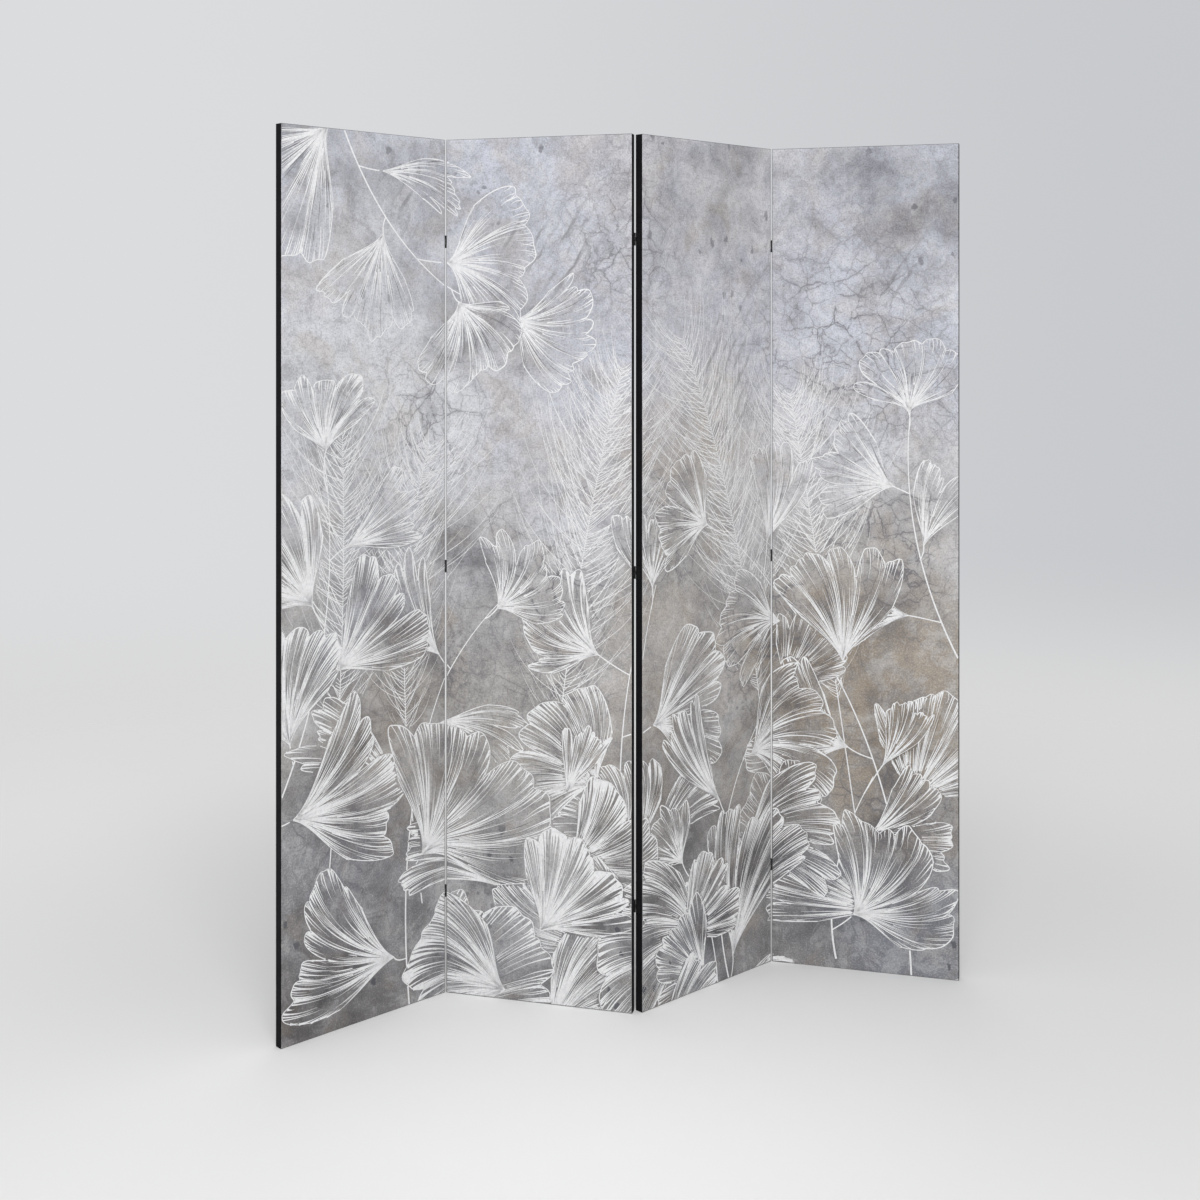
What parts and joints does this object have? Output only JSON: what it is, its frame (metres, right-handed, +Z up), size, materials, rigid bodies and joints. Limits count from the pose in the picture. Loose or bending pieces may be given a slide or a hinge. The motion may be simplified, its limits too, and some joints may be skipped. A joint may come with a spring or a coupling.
{
  "type": "folding room divider",
  "caption": "Tall folding screen of canvas-covered panels, hinged to fold back and forth, shown standing as a zigzag.",
  "frame": {"origin": "on the floor, at the middle of the standing screen's width and depth", "axes": "+Z up, X along the screen's width, -Y towards the printed faces"},
  "size_m": [1.4314, 0.2158, 1.775],
  "materials": {
    "printed_canvas": "matt printed polyester canvas",
    "black_cloth": "matt black woven cloth",
    "pine": "planed, unfinished",
    "black_steel": "black powder coat, satin",
    "zinc_steel": "zinc plated"
  },
  "bodies": {
    "panel_1": {"panel_1_left_stile": "pine", "panel_1_right_stile": "pine", "panel_1_top_rail": "pine", "panel_1_bottom_rail": "pine", "panel_1_lower_cross_rail": "pine", "panel_1_upper_cross_rail": "pine", "panel_1_front_canvas": "printed_canvas", "panel_1_backing_cloth": "black_cloth", "panel_1_canvas_staples": "zinc_steel", "fold_1_left_leaves": "black_steel", "fold_1_pins": "black_steel", "fold_1_left_screws": "black_steel"},
    "panel_2": {"panel_2_left_stile": "pine", "panel_2_right_stile": "pine", "panel_2_top_rail": "pine", "panel_2_bottom_rail": "pine", "panel_2_lower_cross_rail": "pine", "panel_2_upper_cross_rail": "pine", "panel_2_front_canvas": "printed_canvas", "panel_2_backing_cloth": "black_cloth", "panel_2_canvas_staples": "zinc_steel", "fold_2_left_leaves": "black_steel", "fold_2_pins": "black_steel", "fold_2_left_screws": "black_steel", "fold_1_right_leaves": "black_steel", "fold_1_right_screws": "black_steel"},
    "panel_3": {"panel_3_left_stile": "pine", "panel_3_right_stile": "pine", "panel_3_top_rail": "pine", "panel_3_bottom_rail": "pine", "panel_3_lower_cross_rail": "pine", "panel_3_upper_cross_rail": "pine", "panel_3_front_canvas": "printed_canvas", "panel_3_backing_cloth": "black_cloth", "panel_3_canvas_staples": "zinc_steel", "fold_3_left_leaves": "black_steel", "fold_3_pins": "black_steel", "fold_3_left_screws": "black_steel", "fold_2_right_leaves": "black_steel", "fold_2_right_screws": "black_steel"},
    "panel_4": {"panel_4_left_stile": "pine", "panel_4_right_stile": "pine", "panel_4_top_rail": "pine", "panel_4_bottom_rail": "pine", "panel_4_lower_cross_rail": "pine", "panel_4_upper_cross_rail": "pine", "panel_4_front_canvas": "printed_canvas", "panel_4_backing_cloth": "black_cloth", "panel_4_canvas_staples": "zinc_steel", "fold_3_right_leaves": "black_steel", "fold_3_right_screws": "black_steel"}
  },
  "joints": [
    {"name": "fold_1", "type": "hinge", "parent": "panel_2", "child": "panel_1", "pos_m": [-0.35856, 0.09248, 0.8875], "axis": [0, 0, 1], "range_deg": [-60, 120]},
    {"name": "fold_2", "type": "hinge", "parent": "panel_2", "child": "panel_3", "pos_m": [0, -0.09248, 0.8875], "axis": [0, 0, 1], "range_deg": [-60, 120]},
    {"name": "fold_3", "type": "hinge", "parent": "panel_3", "child": "panel_4", "pos_m": [0.35856, 0.09248, 0.8875], "axis": [0, 0, -1], "range_deg": [-60, 120]}
  ]
}
